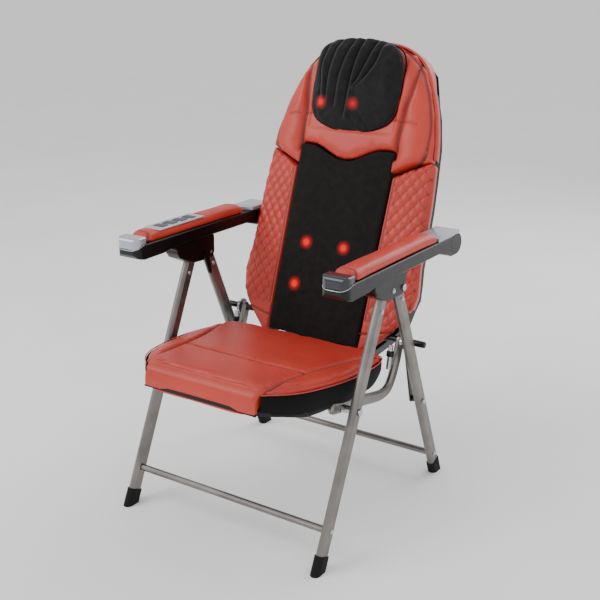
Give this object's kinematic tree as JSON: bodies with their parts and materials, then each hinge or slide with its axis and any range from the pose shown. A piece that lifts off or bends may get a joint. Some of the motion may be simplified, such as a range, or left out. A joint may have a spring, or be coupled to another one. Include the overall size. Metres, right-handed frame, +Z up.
{
  "type": "folding massage armchair",
  "caption": "Folding reclining armchair on two pairs of flat-oval aluminium legs, with a tall padded back that hides rolling and kneading massage heads, and a keypad on one armrest.",
  "frame": {"origin": "middle of the chair's outer box, at floor level", "axes": "+Z up, -Y the way the sitter faces, +X the sitter's left"},
  "size_m": [0.6224, 0.815, 1.0939],
  "materials": {
    "satin_aluminium": "satin",
    "satin_silver": "satin",
    "steel": "satin",
    "black_steel": "satin",
    "black_plastic": "satin",
    "grey_plastic": "satin",
    "rubber": "matte",
    "coral_leather": "satin",
    "dark_mesh": "matte",
    "charcoal_fabric": "matte",
    "dark_key": "satin"
  },
  "bodies": {
    "front_frame": {"front_leg_left": "satin_aluminium", "front_leg_right": "satin_aluminium", "front_crossbar": "satin_aluminium", "front_foot_left": "rubber", "front_foot_right": "rubber", "hub_left": "black_plastic", "hub_right": "black_plastic", "rear_leg_pin_left": "steel", "rear_leg_pin_right": "steel", "seat_pivot_pin_left": "steel", "seat_pivot_pin_right": "steel"},
    "rear_frame": {"rear_leg_left": "satin_aluminium", "rear_leg_right": "satin_aluminium", "rear_crossbar": "satin_aluminium", "rear_foot_left": "rubber", "rear_foot_right": "rubber", "link_bolt_left": "steel", "link_bolt_right": "steel"},
    "seat": {"seat_cushion": "coral_leather", "seat_pan": "black_plastic", "seat_rail_left": "satin_aluminium", "seat_rail_right": "satin_aluminium"},
    "links": {"link_left": "black_steel", "link_right": "black_steel"},
    "hinge_bar": {"hinge_bar": "black_steel", "recline_disc_left": "steel", "recline_disc_right": "steel"},
    "back": {"back_panel": "black_plastic", "shell_side_left": "black_plastic", "shell_side_right": "black_plastic", "back_tube_left": "black_steel", "back_tube_right": "black_steel", "bolster_left": "coral_leather", "bolster_right": "coral_leather", "head_section": "coral_leather", "mesh_panel": "dark_mesh", "neck_pillow": "charcoal_fabric", "neck_unit": "black_plastic", "lead_screw": "steel", "power_inlet": "black_plastic", "arm_pivot_left": "black_plastic", "arm_pivot_right": "black_plastic"},
    "massage_carriage": {"massage_carriage": "black_plastic"},
    "rocker_left": {"rocker_arm_left": "grey_plastic"},
    "rocker_right": {"rocker_arm_right": "grey_plastic"},
    "neck_head_left": {"neck_head_left": "grey_plastic"},
    "neck_head_right": {"neck_head_right": "grey_plastic"},
    "arms": {"arm_left": "black_plastic", "arm_right": "black_plastic", "arm_pad_left": "coral_leather", "arm_pad_right": "coral_leather", "nose_cap_left": "satin_silver", "nose_cap_right": "satin_silver", "keypad": "satin_silver"},
    "release_lever_left": {"release_lever_left": "black_plastic"},
    "release_lever_right": {"release_lever_right": "black_plastic"},
    "button_power": {"button_power": "dark_key"},
    "button_program": {"button_program": "dark_key"},
    "button_heat": {"button_heat": "dark_key"},
    "button_level": {"button_level": "dark_key"}
  },
  "joints": [
    {"name": "fold", "type": "hinge", "parent": "front_frame", "child": "rear_frame", "pos_m": [0, -0.01656, 0.5743], "axis": [-1, 0, 0], "range_deg": [0, 40]},
    {"name": "seat_fold", "type": "hinge", "parent": "front_frame", "child": "seat", "pos_m": [0, -0.18346, 0.3276], "axis": [-1, 0, 0], "range_deg": [0, 84.5]},
    {"name": "link_fold", "type": "hinge", "parent": "seat", "child": "links", "pos_m": [0, 0.09704, 0.4], "axis": [-1, 0, 0], "range_deg": [0, 98]},
    {"name": "hinge_bar_turn", "type": "hinge", "parent": "seat", "child": "hinge_bar", "pos_m": [0, 0.09704, 0.4], "axis": [-1, 0, 0], "range_deg": [-80.5, 0]},
    {"name": "recline", "type": "hinge", "parent": "hinge_bar", "child": "back", "pos_m": [0, 0.09704, 0.4], "axis": [-1, 0, 0], "range_deg": [0, 20]},
    {"name": "arm_fold", "type": "hinge", "parent": "back", "child": "arms", "pos_m": [0, 0.21504, 0.628], "axis": [-1, 0, 0], "range_deg": [0, 108.5]},
    {"name": "release_left", "type": "hinge", "parent": "front_frame", "child": "release_lever_left", "pos_m": [0, -0.04296, 0.571], "axis": [-1, 0, 0], "range_deg": [0, 20], "stiffness_Nm_per_rad": 0.5},
    {"name": "release_right", "type": "hinge", "parent": "front_frame", "child": "release_lever_right", "pos_m": [0, -0.04296, 0.571], "axis": [-1, 0, 0], "range_deg": [0, 20], "stiffness_Nm_per_rad": 0.5},
    {"name": "massage_travel", "type": "slide", "parent": "back", "child": "massage_carriage", "axis": [0, 0.3448, 0.9387], "range_m": [-0.03, 0.18]},
    {"name": "rocker_left_swing", "type": "hinge", "parent": "massage_carriage", "child": "rocker_left", "pos_m": [0, 0.16054, 0.53721], "axis": [-1, 0, 0], "range_deg": [-8, 8]},
    {"name": "rocker_right_swing", "type": "hinge", "parent": "massage_carriage", "child": "rocker_right", "pos_m": [0, 0.16054, 0.53721], "axis": [-1, 0, 0], "range_deg": [-8, 8]},
    {"name": "neck_left_turn", "type": "hinge", "parent": "back", "child": "neck_head_left", "pos_m": [0.048, 0.26342, 0.9362], "axis": [0, -0.9387, 0.3448], "continuous": true},
    {"name": "neck_right_turn", "type": "hinge", "parent": "back", "child": "neck_head_right", "pos_m": [-0.048, 0.26342, 0.9362], "axis": [0, -0.9387, 0.3448], "continuous": true},
    {"name": "press_power", "type": "slide", "parent": "arms", "child": "button_power", "axis": [0, 0, -1], "range_m": [0, 0.001], "stiffness_N_per_m": 400},
    {"name": "press_program", "type": "slide", "parent": "arms", "child": "button_program", "axis": [0, 0, -1], "range_m": [0, 0.001], "stiffness_N_per_m": 400},
    {"name": "press_heat", "type": "slide", "parent": "arms", "child": "button_heat", "axis": [0, 0, -1], "range_m": [0, 0.001], "stiffness_N_per_m": 400},
    {"name": "press_level", "type": "slide", "parent": "arms", "child": "button_level", "axis": [0, 0, -1], "range_m": [0, 0.001], "stiffness_N_per_m": 400}
  ],
  "couplings": [
    {"joint": "seat_fold", "follows": "fold", "ratio": 2.1},
    {"joint": "link_fold", "follows": "fold", "ratio": 2.43},
    {"joint": "hinge_bar_turn", "follows": "fold", "ratio": -2},
    {"joint": "arm_fold", "follows": "fold", "ratio": 2.7},
    {"joint": "rocker_right_swing", "follows": "rocker_left_swing", "ratio": 1},
    {"joint": "neck_right_turn", "follows": "neck_left_turn", "ratio": -1}
  ]
}
